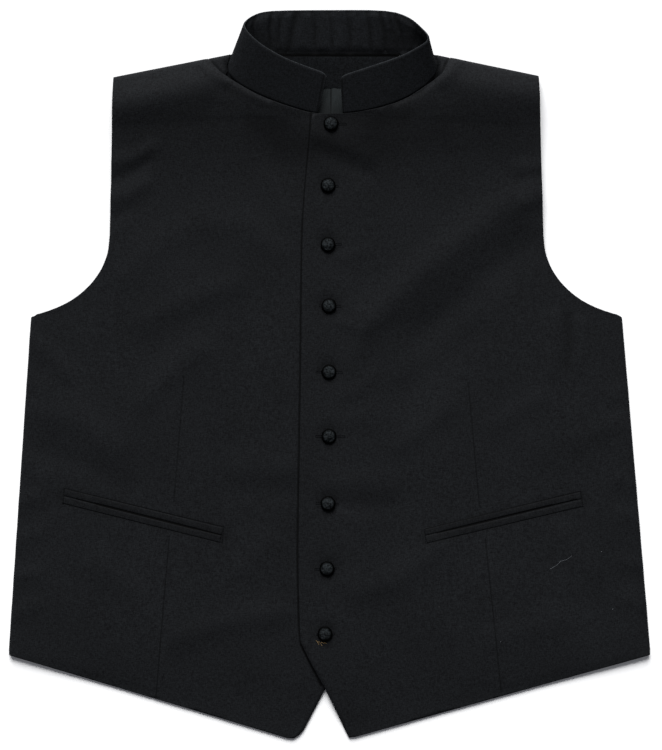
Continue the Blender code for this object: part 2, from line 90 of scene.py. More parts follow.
def new_material(name, roughness, specular, sheen=0.0, sheen_colour="808890"):
    """A material with its shader, and the tree to build on."""
    made = bpy.data.materials.new(name)
    made.use_nodes = True
    shader = made.node_tree.nodes["Principled BSDF"]
    shader.inputs["Roughness"].default_value = roughness
    shader.inputs["IOR"].default_value = 1.5
    shader.inputs["Specular IOR Level"].default_value = specular
    shader.inputs["Sheen Weight"].default_value = sheen
    shader.inputs["Sheen Roughness"].default_value = 0.5
    shader.inputs["Sheen Tint"].default_value = linear(sheen_colour)
    return made, made.node_tree, shader


# %% [markdown]
# ## Wool suiting
#
# The vest is cut from black wool-blend suiting: a fine plain weave, about two threads to the
# millimetre, with a short fuzz. Single threads are too fine to show from two metres, so the warp
# and the weft are drawn as streaks about a millimetre across, which is how they read in a
# picture. The fuzz is sheen, and the broad highlight comes from a fairly low roughness for
# cloth, because pressed wool shines a little on each slope that faces the light.
#
# A dart or a pocket seam pulls the cloth into a ditch half a millimetre wide. A mesh would need
# millions of faces for that, so the ditches are drawn in the material: each is a short line in a
# table, and the distance to it darkens the colour and lowers the bump. The same tables hold bands
# of painted shade and painted shadow, such as the dark inside of a pocket's slit, and the suiting
# also darkens its colour by painted shade that a mesh carries in an attribute.


# %% A function for the suiting, with its ditches and painted shade
def line_mask_at(tree, place, row):
    """1 on a line, fading to 0 at its half width. The lines are sewn ditches and bands of painted shade, in
    millimetres.
    """
    x0, y0, x1, y1, half_width, depth = row
    run = Vector((x1 - x0, y1 - y0, 0))
    way = run.normalized()
    off = add(tree, "VectorMath", [(0, place), (1, (x0, y0, 0))], operation="SUBTRACT")
    along = add(tree, "VectorMath", [(0, off.outputs[0]), (1, way)], operation="DOT_PRODUCT")
    held = add(tree, "Clamp", [("Value", along.outputs["Value"]), ("Min", 0), ("Max", run.length)])
    on_line = add(tree, "VectorMath", [(0, way), ("Scale", held.outputs[0])], operation="SCALE")
    far = add(tree, "VectorMath", [(0, off.outputs[0]), (1, on_line.outputs[0])], operation="DISTANCE")
    limits = [("Value", far.outputs["Value"]), ("From Min", half_width * 0.25), ("From Max", half_width)]
    limits += [("To Min", depth), ("To Max", 0.0)]
    return add(tree, "MapRange", limits, interpolation_type="SMOOTHSTEP").outputs[0]


def suiting(name, dark="08080a", light="1a1c1e", seam_and_shade_lines=(), crumple=0.25, specular=0.07):
    """Black wool-blend suiting in a fine plain weave, whose colour is darkened by ditches and painted shade."""
    made, tree, shader = new_material(name, roughness=0.78, specular=specular, sheen=0.01)
    place = add(tree, "TexCoord").outputs["Object"]
    mm = add(tree, "Mapping", [("Vector", place), ("Scale", (1000, 1000, 1000))]).outputs[0]
    threads = []
    for stretch in ((1 / 3.2, 1 / 0.9, 1 / 2.0), (1 / 0.9, 1 / 3.2, 1 / 2.0)):
        lie = add(tree, "Mapping", [("Vector", mm), ("Scale", stretch)]).outputs[0]
        noise = add(tree, "TexNoise", [("Vector", lie), ("Scale", 1.0), ("Detail", 2.0)])
        threads.append(noise.outputs["Fac"])
    fuzz = add(tree, "TexNoise", [("Vector", mm), ("Scale", 1.1), ("Detail", 2.0)]).outputs["Fac"]
    both = add(tree, "Math", [(0, threads[0]), (1, threads[1])], operation="ADD").outputs[0]
    weave = add(tree, "Math", [(0, both), (1, 0.33), (2, 0.0)], operation="MULTIPLY_ADD").outputs[0]
    weave = add(tree, "Math", [(0, fuzz), (1, 0.34), (2, weave)], operation="MULTIPLY_ADD").outputs[0]
    tone = add(tree, "ValToRGB", [("Fac", weave)])
    tone.color_ramp.elements[0].position, tone.color_ramp.elements[0].color = 0.385, linear(dark)
    tone.color_ramp.elements[1].position, tone.color_ramp.elements[1].color = 0.64, linear(light)
    # Dye and pressing vary over a hand's breadth.
    broad = add(tree, "TexNoise", [("Vector", mm), ("Scale", 1 / 70), ("Detail", 2.0)]).outputs["Fac"]
    shade = add(tree, "MapRange", [("Value", broad), ("From Min", 0.3), ("From Max", 0.7), ("To Min", 0.9), ("To Max", 1.1)])
    colour = add(tree, "VectorMath", [(0, tone.outputs[0]), ("Scale", shade.outputs[0])], operation="SCALE").outputs[0]
    # Pale specks of lint, about 0.5 mm across and a few centimetres apart.
    lint = add(tree, "TexVoronoi", [("Vector", mm), ("Scale", 1 / 45)]).outputs["Distance"]
    limits = [("Value", lint), ("From Min", 0.004), ("From Max", 0.011), ("To Min", 0.05), ("To Max", 0.0)]
    speck = add(tree, "MapRange", limits).outputs[0]
    colour = add(tree, "VectorMath", [(0, colour), (1, speck)], operation="ADD").outputs[0]
    soft = add(tree, "TexNoise", [("Vector", mm), ("Scale", 1 / 16), ("Detail", 3.0)]).outputs["Fac"]
    height = add(tree, "Math", [(0, soft), (1, crumple * 6), (2, weave)], operation="MULTIPLY_ADD").outputs[0]
    # Painted shade: an attribute of the mesh darkens the colour where a crease or the collar keeps out light.
    painted_shade = add(tree, "Attribute", attribute_name="painted_shade").outputs["Fac"]
    seam_and_shade_depth = add(tree, "Math", [(0, painted_shade), (1, 0.6)], operation="MULTIPLY").outputs[0]
    flat = add(tree, "Mapping", [("Vector", place), ("Scale", (1000, 1000, 0))]).outputs[0]
    # Sewn ditches, and bands of painted shade and painted shadow, from the tables.
    for row in seam_and_shade_lines:
        other = line_mask_at(tree, flat, row)
        seam_and_shade_depth = add(tree, "Math", [(0, seam_and_shade_depth), (1, other)], operation="MAXIMUM").outputs[0]
    keep = add(tree, "Math", [(0, 1.0), (1, seam_and_shade_depth)], operation="SUBTRACT").outputs[0]
    colour = add(tree, "VectorMath", [(0, colour), ("Scale", keep)], operation="SCALE").outputs[0]
    height = add(tree, "Math", [(0, seam_and_shade_depth), (1, -3.0), (2, height)], operation="MULTIPLY_ADD").outputs[0]
    bump = add(tree, "Bump", [("Height", height), ("Strength", 0.55), ("Distance", 0.00025)])
    tree.links.new(colour, shader.inputs["Base Color"])
    tree.links.new(bump.outputs[0], shader.inputs["Normal"])
    return made


# %% [markdown]
# ## Where the darts and pockets lie
#
# Each front has a dart that starts under the chest, meets the pocket and goes on to the hem. The
# pocket is double-jetted: its slit runs between two narrow folded strips, and each strip is sewn
# into the front along its outer side and across its ends. Right and left are the wearer's, so
# the right front is on the left in the picture.

# %% Seam and shade tables, and the two fronts' cloth
RIGHT_SEAM_AND_SHADE_LINES = (
    # from x, y, to x, y, half width, depth
    (-145.0, -2.0, -155.2, -127.0, 1.0, 0.45),
    (-159.7, -161.0, -173.2, -322.0, 1.0, 0.5),
    (-263.7, -113.8, -105.6, -152.0, 1.2, 0.62),
    (-265.8, -128.2, -107.6, -167.6, 1.0, 0.42),
    (-264.6, -113.4, -266.0, -129.0, 1.0, 0.6),
    (-105.4, -151.6, -107.0, -168.0, 1.0, 0.6),
    (-264.0, -120.8, -250.0, -124.2, 0.9, 0.4),
    # Painted shadow inside the pocket's slit, darkest at mid-length.
    (-252.4, -123.8, -108.1, -160.0, 1.1, 0.97),
    (-232.0, -129.0, -134.0, -153.6, 1.9, 0.97),
    # Painted shade over the whole pocket, jets included.
    (-264.0, -121.0, -107.0, -160.0, 13.0, 0.26),
)
LEFT_SEAM_AND_SHADE_LINES = (
    (138.4, -8.0, 149.6, -131.0, 1.0, 0.45),
    (155.5, -164.0, 171.5, -317.0, 1.0, 0.5),
    (96.2, -153.6, 250.5, -116.4, 1.2, 0.62),
    (96.2, -168.6, 250.5, -131.4, 1.0, 0.45),
    (95.6, -153.6, 95.8, -168.6, 0.9, 0.5),
    (250.3, -116.2, 252.5, -131.6, 1.0, 0.55),
    (96.2, -160.4, 108.0, -157.6, 0.9, 0.4),
    # Painted shadow inside the pocket's slit, darkest at mid-length.
    (107.5, -157.8, 246.2, -124.2, 1.1, 0.9),
    (130.0, -152.5, 222.0, -130.0, 2.1, 0.85),
    # Painted shade over the whole pocket, jets included.
    (97.0, -160.5, 249.0, -124.0, 13.0, 0.26),
)
FRONT_EDGE = (
    # x, y of the left front's edge from the neck down, where it shades the right front
    (-17.5, 262.0),
    (-19.3, 235.0),
    (-26.4, 150.0),
    (-28.2, 25.0),
    (-29.6, -75.0),
    (-31.2, -175.0),
    (-29.8, -250.0),
    (-27.6, -270.0),
    (-7.6, -310.0),
)
for (x0, y0), (x1, y1) in zip(FRONT_EDGE, FRONT_EDGE[1:]):
    RIGHT_SEAM_AND_SHADE_LINES += ((x0 - 0.7, y0, x1 - 0.7, y1, 1.9, 0.75),)
right_wool = suiting("Black wool suiting, right front", seam_and_shade_lines=RIGHT_SEAM_AND_SHADE_LINES)
left_wool = suiting("Black wool suiting, left front", seam_and_shade_lines=LEFT_SEAM_AND_SHADE_LINES)
plain_wool = suiting("Black wool suiting")
print("dart and pocket ditches:", len(RIGHT_SEAM_AND_SHADE_LINES) + len(LEFT_SEAM_AND_SHADE_LINES))

# %% [markdown]
# ## The other cloths
#
# The collar's band is the same suiting, stiffened and pressed, so it is smoother. Its inner side
# has been crumpled by wear and keeps a wilder surface. The facing inside the neck is the same
# suiting painted darker, as painted shade from the standing collar, and the cloth of the fold
# along the collar's rim is painted paler, as a painted highlight. The strip of lining that shows
# in the collar's gap is grey satin, whose long floats shine across their length. Each button is
# covered with suiting pulled tight over a dome, which spreads its threads; their pale flecks are
# painted into the colour as painted glints. Sewing thread is twisted polyester with a faint gloss.

# %% Collar, lining, button and thread materials
BAND_END_SHADOWS = (
    # from x, y, to x, y, half width, depth: painted shadow along the two front ends of the collar
    (-4.9, 299.0, -12.3, 262.0, 1.5, 0.6),
    (12.1, 297.4, 13.3, 262.0, 1.5, 0.6),
)
# The seam at the foot of the collar, with painted shade in its crevice.
NECK_SEAM_AND_SHADE = ((-58.0, 319.4, 70.0, 319.4, 2.8, 0.95),)
band_wool = suiting("Black wool suiting, stiffened collar", "070809", "181a1d", BAND_END_SHADOWS, crumple=0.15)
inner_wool = suiting("Black wool suiting, crumpled inner collar", "08090a", "1a1c1f", NECK_SEAM_AND_SHADE, crumple=0.8)
# Darker than the rest of the suiting: painted shade from the standing collar.
facing_painted_shade_wool = suiting("Black wool suiting, painted shade inside the neck", "070708", "16181a", NECK_SEAM_AND_SHADE, specular=0.02)
# Paler than the rest of the suiting: a painted highlight along the collar's folded edge.
fold_painted_highlight_wool = suiting("Black wool suiting, painted highlight on the fold", "17191b", "303336")


LINING_DITCHES = (
    # rows of the same kind: the centre seam, and where the fronts keep out the light
    (1.2, 240.0, 1.5, 290.0, 1.1, 0.75),
    (-20.0, 257.0, 20.0, 257.0, 20.0, 0.42),
)


def satin(name):
    """Dark grey acetate satin, woven with long floats across the strip."""
    made, tree, shader = new_material(name, roughness=0.55, specular=0.09)
    place = add(tree, "TexCoord").outputs["Object"]
    lie = add(tree, "Mapping", [("Vector", place), ("Scale", (2200, 160, 1000))]).outputs[0]
    floats = add(tree, "TexNoise", [("Vector", lie), ("Scale", 1.0), ("Detail", 3.0)]).outputs["Fac"]
    tone = add(tree, "ValToRGB", [("Fac", floats)])
    tone.color_ramp.elements[0].position, tone.color_ramp.elements[0].color = 0.3, linear("1b1e1f")
    tone.color_ramp.elements[1].position, tone.color_ramp.elements[1].color = 0.7, linear("25292a")
    mm = add(tree, "Mapping", [("Vector", place), ("Scale", (1000, 1000, 0))]).outputs[0]
    seam, shade = [line_mask_at(tree, mm, row) for row in LINING_DITCHES]
    seam_and_shade_depth = add(tree, "Math", [(0, seam), (1, shade)], operation="MAXIMUM").outputs[0]
    keep = add(tree, "Math", [(0, 1.0), (1, seam_and_shade_depth)], operation="SUBTRACT").outputs[0]
    colour = add(tree, "VectorMath", [(0, tone.outputs[0]), ("Scale", keep)], operation="SCALE").outputs[0]
    bump = add(tree, "Bump", [("Height", floats), ("Strength", 0.3), ("Distance", 0.0001)])
    tree.links.new(colour, shader.inputs["Base Color"])
    tree.links.new(bump.outputs[0], shader.inputs["Normal"])
    return made


def button_cloth(name):
    """Suiting pulled tight over a dome: pale flecks in its colour are painted glints on the opened threads, and the
    rim has painted shade.
    """
    made, tree, shader = new_material(name, roughness=0.7, specular=0.02)
    place = add(tree, "TexCoord").outputs["Object"]
    mm = add(tree, "Mapping", [("Vector", place), ("Scale", (1000, 1000, 1000))]).outputs[0]
    # Painted glints: random pale flecks in the colour, which also make the bump.
    glint_fleck_noise = add(tree, "TexNoise", [("Vector", mm), ("Scale", 0.62), ("Detail", 3.0), ("Roughness", 0.6)])
    tone = add(tree, "ValToRGB", [("Fac", glint_fleck_noise.outputs["Fac"])])
    tone.color_ramp.elements[0].position, tone.color_ramp.elements[0].color = 0.39, linear("0a0b0c")
    tone.color_ramp.elements[1].position, tone.color_ramp.elements[1].color = 0.66, linear("272b2d")
    # Painted shade where the cloth turns under the rim.
    painted_shade = add(tree, "Attribute", attribute_name="painted_shade").outputs["Fac"]
    keep = add(tree, "Math", [(0, 1.0), (1, painted_shade)], operation="SUBTRACT").outputs[0]
    colour = add(tree, "VectorMath", [(0, tone.outputs[0]), ("Scale", keep)], operation="SCALE").outputs[0]
    bump = add(tree, "Bump", [("Height", glint_fleck_noise.outputs["Fac"]), ("Strength", 0.9), ("Distance", 0.0006)])
    tree.links.new(colour, shader.inputs["Base Color"])
    tree.links.new(bump.outputs[0], shader.inputs["Normal"])
    return made


def sewing_thread(name, colour, pale):
    """Twisted polyester thread: its ply shows as fine slanting bands."""
    made, tree, shader = new_material(name, roughness=0.75, specular=0.04)
    place = add(tree, "TexCoord").outputs["Object"]
    ply = add(tree, "TexWave", [("Vector", place), ("Scale", 900.0), ("Distortion", 2.0)], bands_direction="DIAGONAL")
    tone = add(tree, "ValToRGB", [("Fac", ply.outputs["Fac"])])
    tone.color_ramp.elements[0].color, tone.color_ramp.elements[1].color = linear(colour), linear(pale)
    tree.links.new(tone.outputs[0], shader.inputs["Base Color"])
    return made


grey_satin = satin("Dark grey acetate satin")
dome_cloth = button_cloth("Black suiting stretched over buttons")
black_thread = sewing_thread("Black polyester thread", "060607", "141517")
print("materials:", [m.name for m in bpy.data.materials])

# %% [markdown]
# ## From a solid to soft cloth
#
# The solids already have the true outline, wall and largest folds, but with coarse faces. A
# cloth simulation would lose the pressed outline, so each solid's mesh is copied, its loose
# triangles are merged back into quads, and a Subdivision Surface rounds them. Edge creases hold
# the outline where the cloth is folded over at its rim.


# %% A function that copies a solid as soft cloth
def select_only(piece):
    bpy.ops.object.select_all(action="DESELECT")
    piece.select_set(True)
    bpy.context.view_layer.objects.active = piece


def apply_modifier(piece, kind, **settings):
    """Adds a modifier with its settings and applies it, as from the modifier's menu."""
    select_only(piece)
    made = piece.modifiers.new(kind.title(), kind)
    for name, value in settings.items():
        setattr(made, name, value)
    bpy.ops.object.modifier_apply(modifier=made.name)


def soft_copy(node, name, material, levels=2, rim=0.85, even=0):
    """A smooth cloth piece from the solid of that name."""
    piece = bpy.data.objects.new(name, solids[node].data.copy())
    bpy.context.scene.collection.objects.link(piece)
    select_only(piece)
    bpy.ops.object.mode_set(mode="EDIT")
    bpy.ops.mesh.select_all(action="SELECT")
    bpy.ops.mesh.remove_doubles(threshold=1e-5)
    bpy.ops.mesh.tris_convert_to_quads(face_threshold=math.radians(40), shape_threshold=math.radians(60))
    bpy.ops.mesh.select_all(action="DESELECT")
    bpy.ops.mesh.edges_select_sharp(sharpness=math.radians(45))
    bpy.ops.transform.edge_crease(value=rim)
    bpy.ops.object.mode_set(mode="OBJECT")
    if even:
        even_out(piece, even)
    apply_modifier(piece, "SUBSURF", levels=levels, render_levels=levels)
    piece.data.materials.clear()
    piece.data.materials.append(material)
    bpy.ops.object.shade_smooth_by_angle(angle=math.radians(50))
    return piece


def even_out(piece, rounds):
    """Relaxes the heights away from the rim, so that no step of the solid's faces shows."""
    shape = bmesh.new()
    shape.from_mesh(piece.data)
    shape.verts.ensure_lookup_table()
    inside = [v for v in shape.verts if all(e.calc_face_angle(0) < 0.6 for e in v.link_edges)]
    for _ in range(rounds):
        heights = {}
        for v in inside:
            near = [e.other_vert(v).co.z for e in v.link_edges]
            heights[v] = 0.5 * v.co.z + 0.5 * sum(near) / len(near)
        for v, z in heights.items():
            v.co.z = z
    shape.to_mesh(piece.data)
    shape.free()


def height_of(*pieces):
    """A way to find the top of these pieces at any x, y in metres."""
    trees = []
    for piece in pieces:
        mesh = piece.data
        trees.append(BVHTree.FromPolygons([v.co for v in mesh.vertices], [p.vertices for p in mesh.polygons]))

    def top(x, y):
        hits = [tree.ray_cast(Vector((x, y, 0.1)), Vector((0, 0, -1)))[0] for tree in trees]
        return max([hit.z for hit in hits if hit], default=0.0)

    return top


def ride(piece, node=None):
    """The piece goes with the vest and, given a solid's name, stands for that solid, which is hidden."""
    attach(piece, "root")
    if node:
        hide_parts(node)
    return piece


# %% [markdown]
# ## Creases laid one by one
#
# A real vest keeps soft creases where it was folded, worn or pulled by a button, and no two are
# alike. Each is a line on the cloth with its own width and height: a ridge, or a hollow where
# the height is below zero. Cloth on both sides of the wall moves together, so the wall keeps its
# thickness.


# %% A function that lays creases into a piece
def lay_creases(piece, creases, shaded=0.0):
    """Raises the cloth along each line by its height, fading out over its half width. Where it
    sinks and shaded is given, an attribute holds painted shade: how far the material darkens the
    colour for the light the crease keeps out."""
    count = len(piece.data.vertices)
    points = np.empty(count * 3, np.float32)
    piece.data.vertices.foreach_get("co", points)
    points = points.reshape(-1, 3)
    flat = points[:, :2] / MM
    painted_shade = np.zeros(count)
    for path, half_width, height in creases:
        nearest = np.full(count, 1e9)
        for start, end in zip(path, path[1:]):
            start, run = np.array(start), np.array(end) - np.array(start)
            share = np.clip((flat - start) @ run / (run @ run), 0, 1)
            off = flat - start - share[:, None] * run
            nearest = np.minimum(nearest, np.hypot(off[:, 0], off[:, 1]))
        share = np.exp(-((nearest / half_width) ** 2))
        points[:, 2] += height * MM * share
        painted_shade = np.maximum(painted_shade, share * min(-height * shaded, 1.0))
    points[:, 2] = np.maximum(points[:, 2], 0.0)
    piece.data.vertices.foreach_set("co", points.ravel())
    piece.data.update()
    if shaded:
        depth = piece.data.attributes.get("painted_shade") or piece.data.attributes.new("painted_shade", "FLOAT", "POINT")
        before = np.empty(count, np.float32)
        depth.data.foreach_get("value", before)
        depth.data.foreach_set("value", np.maximum(before, painted_shade).astype(np.float32))
    print(piece.name, len(creases), "creases,", len(piece.data.polygons), "faces")


# %% [markdown]
# ## Neck edges and buttons press into the cloth
#
# Beside the collar each front is rolled over, so its edge drops into a groove. Round each button
# the cloth sinks to the foot of the shank, and the shade there is painted into the colour. Both
# are creases too, so they go into tables of the same kind, and the buttons' places come from
# their solids. Below the collar, rows that sink very little paint the shadow of the standing
# collar and the shade at its foot.

# %% Creases at the neck and under the buttons
RIGHT_NECK = (
    (((-121, 316), (-111, 304), (-100, 296), (-82, 285), (-60, 275)), 3.2, -1.7),
    (((-127, 309), (-114, 298), (-103, 291)), 5.5, 1.0),
)
LEFT_NECK = (
    (((120, 317), (113, 303), (104, 293), (90, 282), (66, 271)), 3.2, -1.7),
    (((127, 310), (119, 299), (111, 291)), 5.5, 0.9),
)
# Painted shade at the foot of the collar, with a slight dip.
RIGHT_FOOT = ((((-100, 285), (-72, 269), (-45, 260), (-20, 256)), 7, -0.4),)  # just below the collar
LEFT_FOOT = ((((14, 256), (36, 258), (64, 266), (86, 278)), 8, -0.5),)
UNDER_COLLAR = (
    # painted shadow where the standing collar keeps out the light: these rows shade more than they sink
    (((-120, 248), (0, 242), (130, 246)), 30, -0.055),
    (((-190, 238), (-120, 244)), 26, -0.035),
    (((120, 243), (186, 240)), 26, -0.03),
    (((-46, 234), (20, 230), (110, 238)), 26, -0.1),
    (((-78, 250), (-46, 246)), 13, -0.12),
    (((12, 253), (40, 250), (74, 255)), 14, -0.125),
    (((-80, 204), (-20, 194), (60, 198), (120, 200)), 26, -0.035),
)
BUTTONS = [f"button_{number}" for number in range(1, 10)]
button_places = []
for node in BUTTONS:
    low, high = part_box(node)
    button_places.append(((low + high) / 2 / MM).xy)
# Dips round the buttons, with painted shade in them.
DIMPLES = [(((x - 0.1, y), (x + 0.1, y)), 10.0, -1.0) for x, y in button_places]
# An upright crease whose shade is painted too.
SIDE_DENT = (((238, 58), (239, 34), (237, 8)), 5.5, -0.6)  # a sharp upright crease by the armhole
print("buttons at", [tuple(round(c, 1) for c in place) for place in button_places])

# %% [markdown]
# ## The right front
#
# The right front lies under the left one. It dips below the collar, creases where the armhole
# turns, and pulls down towards the pocket.

# %% The right front's creases
RIGHT_CREASES = (
    # (points x, y of the line), half width, height
    (((-214, 268), (-174, 279), (-128, 291)), 18, 3.2),
    (((-106, 297), (-78, 284), (-40, 269)), 16, 2.6),
    (((-60, 216), (0, 209), (44, 207)), 24, -1.2),
    (((-190, 258), (-110, 260), (-36, 256), (30, 256)), 54, 4.0),
    (((-62, 232), (-46, 200), (-40, 176)), 11, -0.8),
    (((-217, 212), (-196, 216), (-176, 226)), 6, 1.4),
    (((-216, 193), (-196, 202), (-182, 213)), 5, -1.2),
    (((-215, 175), (-200, 179), (-184, 190)), 7, 1.3),
    (((-214, 157), (-198, 165)), 5, -0.7),
    (((-204, 100), (-168, 134), (-130, 152), (-86, 150), (-50, 122)), 15, 0.9),
    (((-184, -24), (-156, 6), (-129, 25)), 12, 1.3),
    (((-180, 52), (-140, 74), (-96, 90)), 13, 1.1),
    (((-292, -36), (-252, -44), (-214, -72)), 15, 1.4),
    (((-282, -78), (-244, -90), (-206, -112)), 12, -1.1),
    (((-300, -88), (-284, -104)), 10, 0.9),
    (((-150, -262), (-100, -246), (-52, -238)), 12, 1.5),
    (((-92, -92), (-36, -94)), 14, 1.1),
    (((-84, -116), (-34, -116)), 8, -0.6),
    (((-313, -128), (-290, -121)), 8, 1.1),
    (((-315, -166), (-288, -157)), 8, 1.0),
    (((-317, -203), (-294, -198)), 7, 1.1),
    (((-319, -240), (-296, -231)), 8, 1.0),
    (((-302, 36), (-282, 24), (-262, 2)), 8, 1.2),
    (((-300, -8), (-280, -16)), 7, 0.8),
    (((-60, 190), (-44, 160)), 10, 0.4),
    (((-42, 100), (-34, 40)), 8, 0.3),
    (((-230, -190), (-200, -214)), 14, 0.8),
    (((-88, -196), (-62, -168)), 12, 0.7),
)
front_right = soft_copy("front_right", "front_right_cloth", right_wool, rim=0.93, even=3)
lay_creases(front_right, RIGHT_CREASES + RIGHT_NECK)
# Painted shade at the collar's foot and in the collar's shadow.
lay_creases(front_right, RIGHT_FOOT, shaded=0.9)
lay_creases(front_right, UNDER_COLLAR, shaded=6.0)
ride(front_right, "front_right")

# %% [markdown]
# ## The left front
#
# The left front lies on top and carries the buttonholes. Its largest fold runs from the armhole
# down to the buttons, and shorter ones start where a button holds the cloth.

# %% The left front's creases
LEFT_CREASES = (
    (((206, 280), (168, 289), (124, 296)), 17, 3.0),
    (((114, 302), (86, 287), (45, 270)), 17, 2.3),
    (((-60, 216), (0, 209), (44, 207)), 24, -1.2),
    (((190, 260), (110, 260), (30, 256), (-31, 256)), 54, 4.1),
    (((-24, 240), (2, 233), (38, 217)), 9, 0.9),
    (((-8, 224), (14, 214), (34, 202)), 9, -0.8),
    (((207, 209), (186, 206)), 5, 1.2),
    (((208, 196), (190, 192)), 5, -0.7),
    (((210, 176), (193, 171)), 6, 1.2),
    (((204, 186), (150, 148), (106, 114), (64, 76), (40, 56)), 16, 2.0),
    (((194, 130), (152, 96), (118, 62), (88, 34)), 18, -1.9),
    (((44, 52), (22, 20), (10, -12)), 10, 0.8),
    (((150, 44), (112, 10), (70, -20)), 14, -1.0),
    (((226, 56), (224, 4)), 8, 1.0),
    (((250, 52), (248, 6)), 8, 1.0),
    (((12, -24), (30, -14), (46, 2)), 6, 0.9),
    (((10, -44), (36, -40)), 6, 0.7),
    (((68, -72), (92, -56), (116, -34)), 9, 1.1),
    (((28, -216), (70, -204), (108, -172)), 12, 1.3),
    (((2, -108), (62, -108)), 13, 1.1),
    (((6, -130), (60, -131)), 8, -0.7),
    (((168, -262), (226, -247)), 14, 1.0),
    (((212, -22), (190, -34), (166, -50)), 8, 0.9),
    (((286, -48), (250, -62)), 9, 0.9),
    (((306, -8), (286, -20)), 7, 0.9),
    (((312, -112), (288, -105)), 8, 0.9),
    (((314, -150), (292, -139)), 8, 0.9),
    (((317, -192), (294, -185)), 7, 0.9),
    (((319, -232), (298, -223)), 8, 0.9),
    (((14, 116), (34, 124)), 6, 0.5),
    (((12, 52), (34, 44)), 6, 0.6),
    (((16, -140), (40, -150)), 7, 0.6),
    (((12, -206), (30, -196)), 6, 0.5),
    (((230, -160), (262, -196)), 13, 0.8),
)
front_left = soft_copy("front_left", "front_left_cloth", left_wool, rim=0.93, even=3)
lay_creases(front_left, (*LEFT_CREASES, *LEFT_NECK))
# Painted shade round the buttons, in the side crease, at the collar's foot and in the collar's shadow.
lay_creases(front_left, (*DIMPLES, SIDE_DENT, *LEFT_FOOT), shaded=0.9)
lay_creases(front_left, UNDER_COLLAR, shaded=6.0)
ride(front_left, "front_left")


def press_below(piece, above, apart):
    """Sinks the cloth of a piece where the one above it would go through it."""
    shapes = [(p, [v.co.copy() for v in p.data.vertices], [f.vertices for f in p.data.polygons]) for p in (piece, above)]
    own, over = [BVHTree.FromPolygons(points, faces) for _, points, faces in shapes]
    sunk = 0
    for vertex in piece.data.vertices:
        x, y = vertex.co.xy
        under = over.ray_cast(Vector((x, y, -0.1)), Vector((0, 0, 1)))[0]
        top = own.ray_cast(Vector((x, y, 0.1)), Vector((0, 0, -1)))[0]
        if under and top and top.z > under.z - apart:
            vertex.co.z = max(vertex.co.z - (top.z - under.z + apart), 0.0)
            sunk += 1
    return sunk


print("points of the right front pressed down:", press_below(front_right, front_left, 0.3 * MM))


# %% [markdown]
# ## The back
#
# The back lies on the table under the fronts, so it is flat. Its two corners come forward over
# the shoulders and show beside the collar. Its rim gets a small bevel, because the edge of a
# pressed seam is rounded.

# %% The back
NECK_EDGES = (
    # points x, y of each front's edge, where the back is sewn under it
    ((-121.5, 316.2), (-111.0, 303.5), (-104.0, 298.2)),
    ((120.5, 317.2), (114.0, 303.0), (110.0, 295.6)),
)
SEAM_REACH, SEAM_PULL = 4.0, 1.7
TIP_START, TIP_INNER = 304.0, 95.0  # below and outside these the corner's tip is drawn out
SHOULDER_SEAMS = (
    # (points x, y of the line), half width, height
    (((-120.5, 316.0), (-110.2, 303.8), (-104, 298)), 1.6, -0.5),
    (((119.6, 317.0), (113.2, 303.4), (109, 296)), 1.6, -0.5),
    (((-99, 320), (-101, 308), (-101, 300)), 3.0, -0.4),
    (((104, 320), (107.4, 308), (107, 298)), 3.0, -0.4),
)


def tuck_under(piece, line):
    """Pulls the cloth above the flat back towards a line, so that it meets what it is sewn to."""
    for vertex in piece.data.vertices:
        if vertex.co.z < 1.9 * MM:
            continue
        place = vertex.co.xy / MM
        ways = []
        for start, end in zip(line, line[1:]):
            foot, share = intersect_point_line(place, start, end)
            ways.append(Vector(start).lerp(Vector(end), min(max(share, 0), 1)) - place)
        way = min(ways, key=lambda w: w.length)
        if 0 < way.length < SEAM_REACH:
            pull = SEAM_PULL * (1 - way.length / SEAM_REACH)
            vertex.co.xy += way.normalized() * pull * MM
        if place.y < TIP_START and abs(place.x) > TIP_INNER:
            vertex.co.y -= (TIP_START - place.y) * MM


back = soft_copy("back", "back_cloth", plain_wool, levels=2, rim=1.0)
for line in NECK_EDGES:
    tuck_under(back, line)
# Dark seam lines where the fronts and the collar meet the back, with painted shade from the collar.
lay_creases(back, SHOULDER_SEAMS, shaded=1.6)
apply_modifier(back, "BEVEL", width=0.0004, segments=2, limit_method="ANGLE", angle_limit=math.radians(50))
bpy.ops.object.shade_smooth_by_angle(angle=math.radians(50))
ride(back, "back")
print("back:", len(back.data.polygons), "faces")

# %% [markdown]
# ## The band collar
#
# The band has an outer and an inner cloth. The outer cloth is stiff and turns over the top edge,
# where it makes a narrow roll that catches the light; the roll's cloth is also painted paler, as a
# painted highlight. The inner cloth, seen at the back of the neck, has uneven upright creases from
# being worn, and their shade is painted into its colour. The roll follows the rims of both
# cloths: the top rim is the long strip of faces that lies highest, found here by flooding from
# face to face up to each sharp edge.

# %% Find the collar's rim and its outer side
NECK_MIDDLE = Vector((5, 328))  # millimetres; every upright of the collar faces it in turn


def strips_of(node):
    """The faces of a solid in strips that end at sharp edges, found by flooding across the rest."""
    shape = bmesh.new()
    shape.from_mesh(solids[node].data)
    bmesh.ops.remove_doubles(shape, verts=shape.verts, dist=1e-5)
    left, strips = set(shape.faces), []
    while left:
        strip = [left.pop()]
        for face in strip:
            for edge in face.edges:
                if edge.calc_face_angle(0) < math.radians(45):
                    near = [f for f in edge.link_faces if f in left]
                    left.difference_update(near)
                    strip += near
        area = sum(f.calc_area() for f in strip)
        height = sum(f.calc_center_median().z for f in strip) / len(strip)
        strips.append((area, height, [[v.co.copy() for v in f.verts] for f in strip]))
    shape.free()
    return strips


